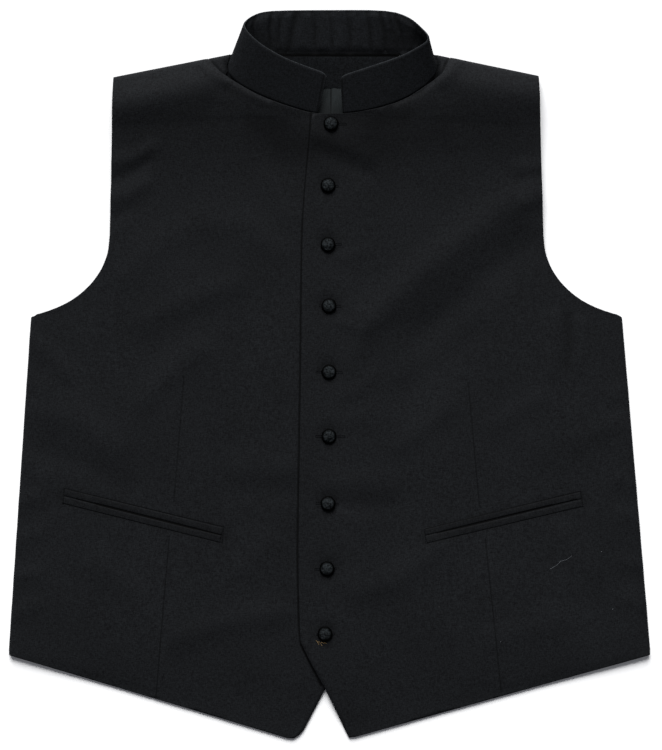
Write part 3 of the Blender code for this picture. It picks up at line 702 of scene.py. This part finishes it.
def rim_points(node):
    """The points of the top rim: the highest of the long, narrow strips."""
    narrow = [strip for strip in strips_of(node) if len(strip[2]) > 40 and strip[0] < 0.0015]
    highest = max(narrow, key=lambda strip: strip[1])
    return [point for face in highest[2] for point in face]


def round_the_neck(point):
    """The angle of a point round the middle of the neck, growing from the right end to the left."""
    off = Vector((point.x / MM, point.y / MM)) - NECK_MIDDLE
    return (math.atan2(-off.x, off.y) + math.pi) % math.tau


def middle_line(points, count):
    """One smooth line through points that lie in a band round the neck."""
    angles = [round_the_neck(p) for p in points]
    first, last, reach = min(angles), max(angles), 0.035
    line = []
    for i in range(count):
        here = first + (last - first) * i / (count - 1)
        weights = [math.exp(-(((a - here) / reach) ** 2)) for a in angles]
        line.append(sum((p * w for p, w in zip(points, weights)), Vector()) / sum(weights))
    return line


outer_side = max(strips_of("collar_band"), key=lambda strip: strip[0])[2]
flat_points = [point for face in outer_side for point in face]
outer_tree = BVHTree.FromPolygons(flat_points, [(3 * i, 3 * i + 1, 3 * i + 2) for i in range(len(outer_side))])
rim = middle_line(rim_points("collar_band") + rim_points("collar_facing"), 150)
print("rim:", round(sum((b - a).length for a, b in zip(rim, rim[1:])) / MM), "mm;", len(outer_side), "outer faces")

# %% The two cloths of the collar
COLLAR_CREASES = (
    # (points x, y of the line), half width, height
    (((-59, 326), (-60, 345), (-57, 362)), 2.0, -0.9),
    (((-66, 326), (-68, 350)), 3.5, 0.5),
    (((-49, 324), (-51, 340), (-48, 358)), 1.6, -0.7),
    (((-41, 322), (-38, 340), (-33, 361)), 2.6, -1.0),
    (((-26, 330), (-25, 356)), 4.0, 0.7),
    (((-15, 322), (-15, 346), (-17, 361)), 1.6, -1.1),
    (((-7, 328), (-6, 355)), 4.0, 0.6),
    (((2, 322), (3, 340), (1, 361)), 1.4, -0.7),
    (((12, 328), (11, 358)), 4.0, 0.6),
    (((20, 322), (21, 344), (19, 361)), 1.7, -0.9),
    (((28, 330), (29, 354)), 3.4, 0.5),
    (((42, 320), (41, 340), (38, 361)), 2.1, -0.8),
    (((49, 325), (50, 342), (47, 360)), 3.0, 0.4),
    (((56, 320), (55, 340), (50, 360)), 2.4, -0.8),
    (((63, 330), (62, 346), (58, 358)), 1.8, -0.5),
    (((74, 324), (72, 340), (66, 356)), 2.6, -0.7),
    (((80, 326), (79, 346)), 2.6, 0.5),
    (((-74, 328), (-77, 346), (-74, 356)), 2.2, -0.8),
    (((-84, 330), (-84, 344)), 2.0, -0.6),
    (((86, 330), (87, 342)), 2.0, -0.6),
    # Broad painted shade at the sides and along the foot of the inner collar.
    (((-92, 340), (-66, 326)), 17, -0.5),
    (((96, 338), (64, 326)), 19, -0.5),
    (((-58, 321), (68, 321)), 4.0, -0.7),
)
THIN_REACH, THIN_SHARE = 7.0, 0.5  # the two cloths are pressed thin near the fold at the rim


def press_thin(piece):
    """Draws the wall in towards the collar's outer side near the rim, where it is pressed."""
    marks = np.array(rim)
    for vertex in piece.data.vertices:
        far = np.linalg.norm(marks - np.array(vertex.co), axis=1).min() / MM
        if far < THIN_REACH:
            outer = outer_tree.find_nearest(vertex.co)[0]
            share = THIN_SHARE * math.cos(far / THIN_REACH * math.pi / 2) ** 2
            vertex.co = vertex.co.lerp(outer, share)


collar_band = soft_copy("collar_band", "collar_band_cloth", band_wool, levels=2)
collar_inner = soft_copy("collar_facing", "collar_inner_cloth", inner_wool, levels=3)
# The creases' shade is painted into the inner collar's colour.
lay_creases(collar_inner, COLLAR_CREASES, shaded=1.3)
for cloth in (collar_band, collar_inner):
    press_thin(cloth)
ride(collar_band, "collar_band")
ride(collar_inner, "collar_facing")


# %% The fold along the collar's rim
FOLD_RADIUS = 0.5


def cord_along(name, line, radius, material, sides=4, tapered=False):
    """A round roll of cloth or thread along a line of points, made as a bevelled curve. A tapered
    one is full at its start and thins out towards its end."""
    curve = bpy.data.curves.new(name, "CURVE")
    curve.dimensions = "3D"
    curve.bevel_depth, curve.bevel_resolution, curve.use_fill_caps = radius, sides, True
    spline = curve.splines.new("POLY")
    spline.points.add(len(line) - 1)
    for number, (point, place) in enumerate(zip(spline.points, line)):
        point.co = (*place, 1.0)
        point.radius = 1.0 - 0.75 * number / (len(line) - 1) if tapered else 1.0
    made = bpy.data.objects.new(name, curve)
    bpy.context.scene.collection.objects.link(made)
    select_only(made)
    bpy.ops.object.convert(target="MESH")
    made.data.materials.clear()
    made.data.materials.append(material)
    bpy.ops.object.shade_smooth_by_angle(angle=math.radians(60))
    return made


fold_line = [p.lerp(outer_tree.find_nearest(p)[0], THIN_SHARE) for p in rim]
# The roll's paler cloth is a painted highlight.
collar_fold = cord_along("collar_folded_edge", fold_line, FOLD_RADIUS * MM, fold_painted_highlight_wool, sides=5)
ride(collar_fold)

# %% [markdown]
# ## Facing and lining inside the back neck
#
# Inside the neck a facing of self cloth is sewn to the back, and the satin lining starts below
# it. Two pieces of lining meet in a centre seam, which sinks between them. The facing's solid is
# fine once it is softened. The lining is a grid that is pressed down along its seam.

# %% The facing and the lining
facing = soft_copy("back_neck_facing", "back_neck_facing_cloth", facing_painted_shade_wool, levels=1, rim=1.0)
for vertex in facing.data.vertices:
    if vertex.co.y > 318 * MM:  # its upper edge goes into the seam below the collar
        vertex.co.y += 2.2 * MM
        vertex.co.z -= 0.6 * MM
select_only(facing)
bpy.ops.object.shade_flat()
ride(facing, "back_neck_facing")

low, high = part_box("back_lining")
high.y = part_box("back_neck_facing")[0].y + 1.0 * MM  # it goes under the facing, which is sewn to it
high.z -= 0.7 * MM
size = high - low
middle = (low + high) / 2
bpy.ops.object.select_all(action="DESELECT")
bpy.ops.mesh.primitive_grid_add(x_subdivisions=66, y_subdivisions=46, size=1, location=(middle.x, middle.y, high.z))
lining = bpy.context.object
lining.name = "back_lining_satin"
lining.scale = (size.x, size.y, 1)
bpy.ops.object.transform_apply(location=True, rotation=True, scale=True)
for vertex in lining.data.vertices:
    off = vertex.co.x / MM - LINING_DITCHES[0][0]
    vertex.co.z += 0.35 * MM * math.exp(-(((abs(off) - 3.4) / 2.6) ** 2))
    vertex.co.z += 0.2 * MM * math.sin(off / 5.1 + vertex.co.y / MM / 9.0)
apply_modifier(lining, "SOLIDIFY", thickness=0.5 * MM, offset=-1.0)
lining.data.materials.append(grey_satin)
bpy.ops.object.shade_smooth_by_angle(angle=math.radians(60))
ride(lining, "back_lining")
print("lining:", len(lining.data.polygons), "faces")

# %% [markdown]
# ## Pocket jets
#
# A jet is a strip folded lengthwise and pressed, so its slit side is a soft fold. The solids have
# that shape already. The strips are softened, and each end of the pocket gets a row of short
# stitches that holds both jets to the front. One stitch is modelled from a small sphere, drawn
# out and flattened, and all the others are copies of it in one mesh.


# %% The jets
PRESSED = 0.35  # share of a jet's height that stays after pressing
jets = []
for side, front, wool in (("right", front_right, right_wool), ("left", front_left, left_wool)):
    ground = height_of(front)
    for place in ("upper", "lower"):
        node = f"pocket_{side}_{place}_jet"
        jet = soft_copy(node, node + "_cloth", wool, levels=2, rim=0.5)
        solid_ground = height_of(solids[f"front_{side}"])
        for vertex in jet.data.vertices:
            x, y, z = vertex.co
            vertex.co.z = ground(x, y) + max(z - solid_ground(x, y), 0.1 * MM) * PRESSED
        jets.append(ride(jet, node))
print("jets:", [len(jet.data.polygons) for jet in jets], "faces")

# %% One stitch, and a function that sews rows of them
bpy.ops.object.select_all(action="DESELECT")
bpy.ops.mesh.primitive_uv_sphere_add(segments=8, ring_count=6, radius=0.5)
stitch = bpy.context.object
bpy.ops.object.mode_set(mode="EDIT")
bpy.ops.mesh.select_all(action="SELECT")
bpy.ops.transform.resize(value=(1.0, 1.0, 0.7))
bpy.ops.object.mode_set(mode="OBJECT")
stitch_points = [v.co.copy() for v in stitch.data.vertices]
stitch_faces = [tuple(p.vertices) for p in stitch.data.polygons]
bpy.data.objects.remove(stitch)
print("one stitch:", len(stitch_faces), "faces")


def sew(name, stitches, top, material, sink=0.1):
    """Stitches from (start, end, width) in millimetres, laid on the cloth below them."""
    points, faces = [], []
    for start, end, width in stitches:
        start, end = Vector(start), Vector(end)
        run = end - start
        way = run.normalized()
        ends = [top(start.x * MM, start.y * MM), top(end.x * MM, end.y * MM)]
        for p in stitch_points:
            flat = (start + end) / 2 + way * p.x * run.length + Vector((-way.y, way.x)) * p.y * width
            ground = ends[0] + (ends[1] - ends[0]) * (p.x + 0.5)
            points.append((flat.x * MM, flat.y * MM, ground + (p.z + 0.5 - sink) * width * 0.8 * MM))
        base = len(points) - len(stitch_points)
        faces += [tuple(base + i for i in face) for face in stitch_faces]
    mesh = bpy.data.meshes.new(name)
    mesh.from_pydata(points, [], faces)
    mesh.shade_smooth()
    mesh.materials.append(material)
    made = bpy.data.objects.new(name, mesh)
    bpy.context.scene.collection.objects.link(made)
    return made


def row_of_stitches(start, end, pitch, width, gap=0.3):
    """Running stitches end to end along a line, with a short gap between them."""
    start, end = Vector(start), Vector(end)
    count = max(round((end - start).length / pitch), 1)
    step = (end - start) / count
    return [(start + step * i, start + step * (i + 1 - gap), width) for i in range(count)]


# %% The stitches across the ends of the pockets
POCKET_ENDS = (
    # x, y at the top, x, y at the bottom
    (-264.4, -112.6, -266.2, -129.6),
    (-105.0, -150.9, -107.4, -168.4),
    (94.6, -153.2, 96.4, -169.2),
    (250.8, -114.8, 253.6, -132.2),
)
stitches = []
for x0, y0, x1, y1 in POCKET_ENDS:
    stitches += row_of_stitches((x0, y0), (x1, y1), 2.0, 0.5)
pocket_stitches = sew("pocket_end_stitches", stitches, height_of(front_right, front_left, *jets), black_thread)
ride(pocket_stitches)
print("pocket end stitches:", len(stitches))

# %% [markdown]
# ## Covered buttons
#
# A covered button is a metal dome wrapped in a disc of cloth that is gathered behind it. The
# gathers show as small uneven pleats round the rim, and painted shade darkens the rim where the cloth turns under.
# One dome is made from a sphere: its lower half is pressed flat, its rim is moved in and out in
# uneven waves, and a few dents are pushed in. It is then copied to the nine places and turned
# each time, so that no two show the same side.

# %% One covered button
BUTTON_RADIUS, DOME_HEIGHT, UNDER_DEPTH, RIM_LIFT = 7.7, 3.2, 1.0, 1.2
bpy.ops.object.select_all(action="DESELECT")
bpy.ops.mesh.primitive_uv_sphere_add(segments=72, ring_count=36, radius=BUTTON_RADIUS * MM)
dome = bpy.context.object
pleats = [(random.uniform(0.05, 0.14), random.uniform(0, math.tau), n) for n in (5, 7, 9, 12, 14)]
dents = []
for _ in range(14):
    way = Vector((random.uniform(-1, 1), random.uniform(-1, 1), random.uniform(0.4, 1.4))).normalized()
    dents.append((way, random.uniform(0.15, 0.35)))
painted_rim_shade = dome.data.attributes.new("painted_shade", "FLOAT", "POINT")
for vertex, mark in zip(dome.data.vertices, painted_rim_shade.data):
    unit = vertex.co.normalized()
    turn, level = math.atan2(unit.y, unit.x), unit.z
    wave = sum(size * math.cos(n * turn + start) for size, start, n in pleats)
    out = BUTTON_RADIUS - 0.25 + wave * math.exp(-((level / 0.42) ** 2))
    dent = sum(size * math.exp(-(((unit - way).length / 0.24) ** 2)) for way, size in dents)
    height = DOME_HEIGHT * level - dent if level > 0 else UNDER_DEPTH * level
    vertex.co = Vector((unit.x * out, unit.y * out, height)) * MM
    # Painted shade: the rim and the underside get darker where the cloth turns under.
    from_middle = unit.xy.length if level > 0 else 1.0
    mark.value = min(max((from_middle - 0.66) / 0.18, 0.0), 1.0)
dome.data.materials.append(dome_cloth)
dome.data.shade_smooth()
print("one button:", len(dome.data.polygons), "faces")

# %% The nine buttons in their places
front_top = height_of(front_left)
for number, (node, (x, y)) in enumerate(zip(BUTTONS, button_places)):
    button = bpy.data.objects.new(node + "_cloth", dome.data.copy())
    bpy.context.scene.collection.objects.link(button)
    select_only(button)
    button.rotation_euler = (random.uniform(-0.06, 0.06), random.uniform(-0.06, 0.06), number * 2.3)
    button.location = (x * MM, y * MM, front_top(x * MM, y * MM) + RIM_LIFT * MM)
    bpy.ops.object.transform_apply(location=True, rotation=True, scale=True)
    ride(button, node)
bpy.data.objects.remove(dome)

# %% [markdown]
# ## Shanks and buttonholes
#
# Each button goes through a hole whose edges are covered with close stitches. Both ends of a hole
# can show beside its button, as a short bar with a dark slit in its middle. The stitches are the
# same small sphere, laid crosswise and close together.

# %% Shanks and buttonholes
HOLES = ((-6, 15), (-6, 10), (-6, 13), (-9.5, 11.5), (-12.5, 13), (-13, 15.5), (-11.5, 10), (-12, 9), (-8, 9))
shanks, hole_stitches = [], []
for (x, y), (left_end, right_end) in zip(button_places, HOLES):
    for turn in range(10):
        side = Vector((math.cos(turn * math.tau / 10), math.sin(turn * math.tau / 10)))
        cross = Vector((-side.y, side.x))
        foot = Vector((x, y)) + side * 1.7
        shanks.append((foot - cross * 0.9, foot + cross * 0.9, 0.8))
    tilt = random.uniform(-0.06, 0.06)
    way = Vector((math.cos(tilt), math.sin(tilt)))
    across = Vector((-way.y, way.x))
    first, last = Vector((x, y)) + way * left_end, Vector((x, y)) + way * right_end
    count = round((last - first).length / 0.6)
    for i in range(count + 1):
        here = first.lerp(last, i / count)
        for side in (1, -1):
            inner, outer = across * side * 0.3, across * side * random.uniform(1.35, 1.6)
            hole_stitches.append((here + inner, here + outer, 0.55))
    for end, out in ((first, -way), (last, way)):
        hole_stitches.append((end + out * 0.5 - across * 1.5, end + out * 0.5 + across * 1.5, 0.6))
buttonholes = sew("buttonhole_stitches", hole_stitches, front_top, black_thread, sink=0.2)
shank_threads = sew("button_shank_threads", shanks, front_top, black_thread, sink=-0.3)
ride(buttonholes)
ride(shank_threads)
print("buttonhole stitches:", len(hole_stitches))

# %% [markdown]
# ## Loose ends
#
# A few ends of brown basting thread stick out below the last button, and some pale fibres of
# lint lie on the left front. Both are thin cords that follow the cloth below them.

# %% Thread ends and lint
brown_thread = sewing_thread("Brown basting thread", "4a3a24", "8a7450")
pale_fibre = sewing_thread("Pale lint fibre", "484b4f", "6a6d71")
LOOSE_ENDS = (
    # material, radius, points x, y
    (brown_thread, 0.22, ((-13.4, -264.6), (-11.6, -266.6), (-10.6, -268.8))),
    (brown_thread, 0.20, ((-11.0, -265.6), (-8.8, -267.4), (-7.6, -270.0))),
    (brown_thread, 0.22, ((-8.2, -266.6), (-5.6, -267.4), (-3.0, -267.2))),
    (pale_fibre, 0.10, ((219.5, -194.0), (226.0, -190.2), (231.0, -185.8), (236.5, -184.2), (241.8, -180.6))),
    (pale_fibre, 0.30, ((271.2, -176.4), (271.8, -176.0))),
    (pale_fibre, 0.22, ((282.4, -234.0), (283.0, -233.2))),
    (pale_fibre, 0.20, ((170.4, -266.4), (171.0, -266.0))),
)
for number, (thread, radius, places) in enumerate(LOOSE_ENDS, start=1):
    path = [Vector((x * MM, y * MM, front_top(x * MM, y * MM) + radius * 0.7 * MM)) for x, y in places]
    ride(cord_along(f"loose_end_{number}", path, radius * MM, thread, sides=2))
print("loose ends:", len(LOOSE_ENDS))

# %% [markdown]
# ## Sheets of cloth
#
# The area of one side and the box of each cloth piece are printed here.


def cloth_area(piece):
    """Half of the closed wall's surface, which is the area of its one side."""
    return sum(p.area for p in piece.data.polygons) / 2


for piece in (front_right, front_left, back, collar_band, collar_inner, facing, lining, *jets):
    print(piece.name, "area", round(cloth_area(piece), 5), "box", [round(x, 3) for x in piece.dimensions])
for jet in jets:
    front = "front_right_cloth" if "right" in jet.name else "front_left_cloth"

# %% [markdown]
# ## Table, light and camera
#
# The vest lies on a plain pale table. A wide soft light stands beyond the collar and fairly low,
# so that each slope that faces it is paler and each one that turns away is darker: on black
# cloth that is nearly all there is to see. The camera hangs straight above. Its distance comes
# from the lens and from the picture, whose long side covers 750 mm of the table.

# %% Table
bpy.ops.object.select_all(action="DESELECT")
bpy.ops.mesh.primitive_plane_add(size=60, location=(0, 0, -0.0002))
floor = bpy.context.object
floor.name = "floor"
table_top, table_tree, table_shader = new_material("Pale matt tabletop", roughness=0.9, specular=0.1)
table_shader.inputs["Base Color"].default_value = linear("f4f4f4")
floor.data.materials.append(table_top)

# %% Light
sky = bpy.data.worlds.new("Soft studio")
sky.use_nodes = True
sky.node_tree.nodes["Background"].inputs["Color"].default_value = linear("f4f6ff")
sky.node_tree.nodes["Background"].inputs["Strength"].default_value = 0.2
bpy.context.scene.world = sky


def far_softbox(name, place, spread, strength):
    """Soft light from so far away that it falls evenly: a sun lamp with a wide disc."""
    lamp = bpy.data.lights.new(name, "SUN")
    lamp.angle, lamp.energy = math.radians(spread), strength
    made = bpy.data.objects.new(name, lamp)
    bpy.context.scene.collection.objects.link(made)
    made.location = place
    made.rotation_euler = (-Vector(place)).to_track_quat("-Z", "Y").to_euler()
    return made


far_softbox("Long soft light beyond the collar", (-0.5, 4.5, 2.5), 42.0, 6.8)
bpy.context.scene.view_settings.view_transform = "Standard"

# %% Camera
LENS, SENSOR, PICTURE = 100.0, 36.0, (0.662, 0.750)
camera_data = bpy.data.cameras.new("Camera above")
camera_data.lens, camera_data.sensor_width = LENS, SENSOR
camera = bpy.data.objects.new("Camera above", camera_data)
bpy.context.scene.collection.objects.link(camera)
distance = LENS * PICTURE[1] / SENSOR
camera.location = (0.0015, 0.0, distance)
camera_data.clip_start, camera_data.clip_end = 0.1, 20
bpy.context.scene.camera = camera
print("camera", round(distance, 3), "m above the table")
